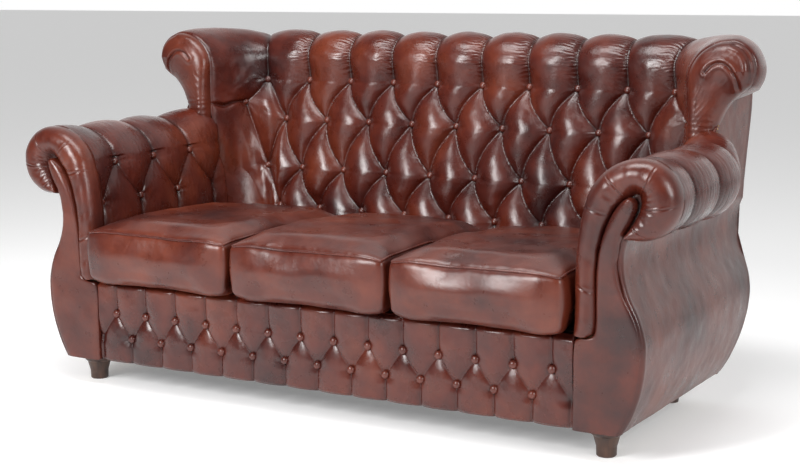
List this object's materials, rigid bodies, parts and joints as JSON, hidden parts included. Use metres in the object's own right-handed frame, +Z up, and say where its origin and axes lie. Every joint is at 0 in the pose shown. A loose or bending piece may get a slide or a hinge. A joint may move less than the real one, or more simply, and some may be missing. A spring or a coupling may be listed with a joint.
{
  "type": "sofa",
  "caption": "Chesterfield sofa with a deep-buttoned fluted back and wings, rolled buttoned arms, a pleated front border and loose lift-off seat cushions on turned feet",
  "frame": {"origin": "On the floor under the middle of the whole sofa, at its full width and full depth", "axes": "+X to the sitter's left along the seat, +Y from the front to the back of the sofa, +Z up"},
  "size_m": [2.048, 1.0806, 1.0258],
  "materials": {
    "leather": "semi-gloss, mottled antique oxblood, darker in the folds",
    "button_leather": "semi-gloss, covered buttons",
    "turned_wood": "satin dark brown polish",
    "frame_wood": "sawn hardwood, unfinished",
    "webbing": "woven jute",
    "platform_cloth": "matt woven cotton",
    "black_cloth": "matt black cambric",
    "foam": "matt, light foam wrapped in wadding",
    "steel": "zinc plated"
  },
  "bodies": {
    "root": {"arm_board_left": "frame_wood", "arm_board_right": "frame_wood", "arm_buttons": "button_leather", "arm_pad_left": "leather", "arm_pad_right": "leather", "arm_rail_left": "frame_wood", "arm_rail_right": "frame_wood", "arm_stay_left": "frame_wood", "arm_stay_right": "frame_wood", "back_buttons": "button_leather", "back_pad": "leather", "back_post_left": "frame_wood", "back_post_right": "frame_wood", "back_stay": "frame_wood", "back_upright_left": "frame_wood", "back_upright_right": "frame_wood", "back_webbing": "webbing", "border_buttons": "button_leather", "corner_blocks": "frame_wood", "deck_pad": "platform_cloth", "dust_cover": "black_cloth", "facing_panel_left": "leather", "facing_panel_right": "leather", "facing_roll_left": "leather", "facing_roll_right": "leather", "foot_bolts": "steel", "front_border": "leather", "front_feet": "turned_wood", "front_rail": "frame_wood", "hessian": "webbing", "outside_back": "leather", "outside_panel_left": "leather", "outside_panel_right": "leather", "rear_feet": "turned_wood", "rear_rail": "frame_wood", "seat_brace_left": "frame_wood", "seat_brace_right": "frame_wood", "seat_webbing_cross": "webbing", "seat_webbing_long": "webbing", "side_rail_left": "frame_wood", "side_rail_right": "frame_wood", "top_rail": "frame_wood", "wing_front_left": "leather", "wing_front_right": "leather", "wing_pad_left": "leather", "wing_pad_right": "leather", "wing_post_left": "frame_wood", "wing_post_right": "frame_wood", "wing_rail_left": "frame_wood", "wing_rail_right": "frame_wood"},
    "seat_cushion_left": {"cushion_cover_left": "leather", "cushion_core_left": "foam"},
    "seat_cushion_middle": {"cushion_cover_middle": "leather", "cushion_core_middle": "foam"},
    "seat_cushion_right": {"cushion_cover_right": "leather", "cushion_core_right": "foam"}
  },
  "joints": [
    {"name": "cushion_lift_left", "type": "slide", "parent": "root", "child": "seat_cushion_left", "axis": [0, 0, 1], "range_m": [0, 0.3]},
    {"name": "cushion_lift_middle", "type": "slide", "parent": "root", "child": "seat_cushion_middle", "axis": [0, 0, 1], "range_m": [0, 0.3]},
    {"name": "cushion_lift_right", "type": "slide", "parent": "root", "child": "seat_cushion_right", "axis": [0, 0, 1], "range_m": [0, 0.3]}
  ]
}
